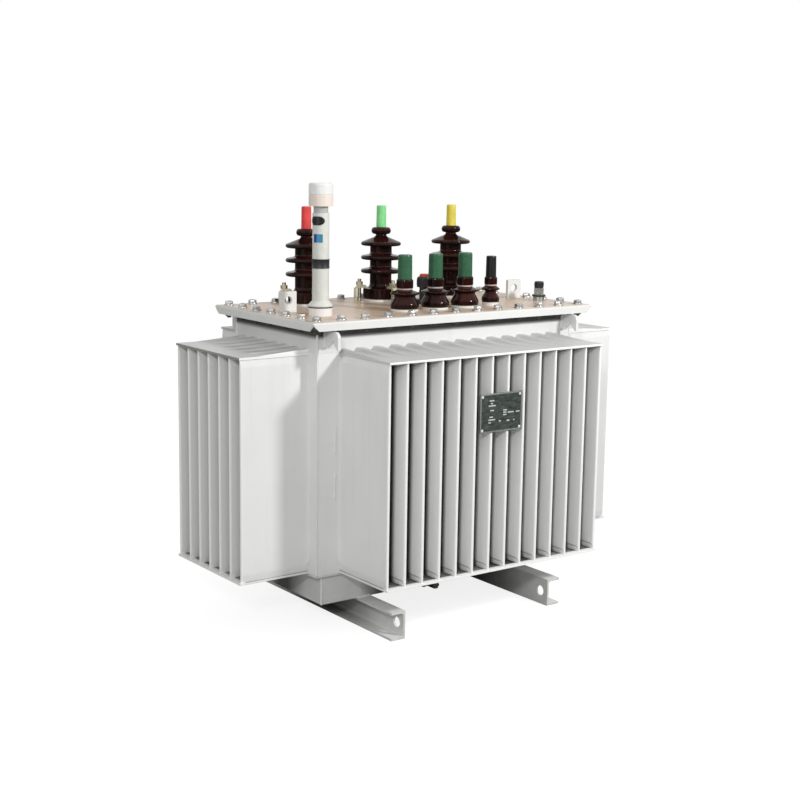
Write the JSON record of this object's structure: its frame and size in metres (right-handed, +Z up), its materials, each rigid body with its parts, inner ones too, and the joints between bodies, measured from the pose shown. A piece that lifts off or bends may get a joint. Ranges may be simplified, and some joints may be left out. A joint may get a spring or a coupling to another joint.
{
  "type": "power transformer",
  "caption": "Oil-filled distribution transformer: sealed tank with corrugated cooling fins, bolted lid, brown porcelain bushings with coloured sleeves, oil level tube and skid rails.",
  "frame": {"origin": "on the ground, under the middle of the tank", "axes": "+X along the long side to the right, -Y to the front with the nameplate, +Z up"},
  "size_m": [1.166, 0.774, 1.076],
  "materials": {
    "grey_paint": "gloss light grey enamel",
    "brown_porcelain": "dark brown glaze",
    "red_sleeve": "satin red sleeve",
    "light_green_sleeve": "satin light green sleeve",
    "yellow_sleeve": "satin yellow sleeve",
    "dark_green_sleeve": "satin dark green sleeve",
    "black_sleeve": "satin black sleeve",
    "zinc_steel": "zinc plated",
    "white_plastic": "white, smooth",
    "black_plastic": "black moulding",
    "orange_plastic": "orange red moulding",
    "nameplate_metal": "dark green grey anodised, bare",
    "dark_steel": "dark, oily",
    "black_rubber": "nitrile gasket"
  },
  "bodies": {
    "root": {"left_rail": "grey_paint", "right_rail": "grey_paint", "tank_base": "grey_paint", "front_wall": "grey_paint", "back_wall": "grey_paint", "left_wall": "grey_paint", "right_wall": "grey_paint", "top_covers": "grey_paint", "bottom_plates": "grey_paint", "upper_band": "grey_paint", "tank_flange": "grey_paint", "lid_gasket": "black_rubber", "lid": "grey_paint", "front_left_hook": "grey_paint", "front_right_hook": "grey_paint", "back_left_hook": "grey_paint", "back_right_hook": "grey_paint", "left_lid_lug": "grey_paint", "right_lid_lug": "grey_paint", "bushing_seats": "grey_paint", "hv_bushing_a": "brown_porcelain", "hv_bushing_b": "brown_porcelain", "hv_bushing_c": "brown_porcelain", "hv_sleeve_a": "red_sleeve", "hv_sleeve_b": "light_green_sleeve", "hv_sleeve_c": "yellow_sleeve", "hv_clamps": "zinc_steel", "lv_bushing_a": "brown_porcelain", "lv_bushing_b": "brown_porcelain", "lv_bushing_c": "brown_porcelain", "neutral_bushing": "brown_porcelain", "lv_sleeve_a": "dark_green_sleeve", "lv_sleeve_b": "dark_green_sleeve", "lv_sleeve_c": "dark_green_sleeve", "neutral_sleeve": "black_sleeve", "gauge_foot": "grey_paint", "gauge_tube": "white_plastic", "gauge_cap": "white_plastic", "tap_changer": "black_plastic", "tap_knob": "orange_plastic", "thermometer_pocket": "zinc_steel", "pocket_cap": "black_plastic", "nameplate": "nameplate_metal", "drain_plug": "dark_steel"}
  },
  "joints": []
}
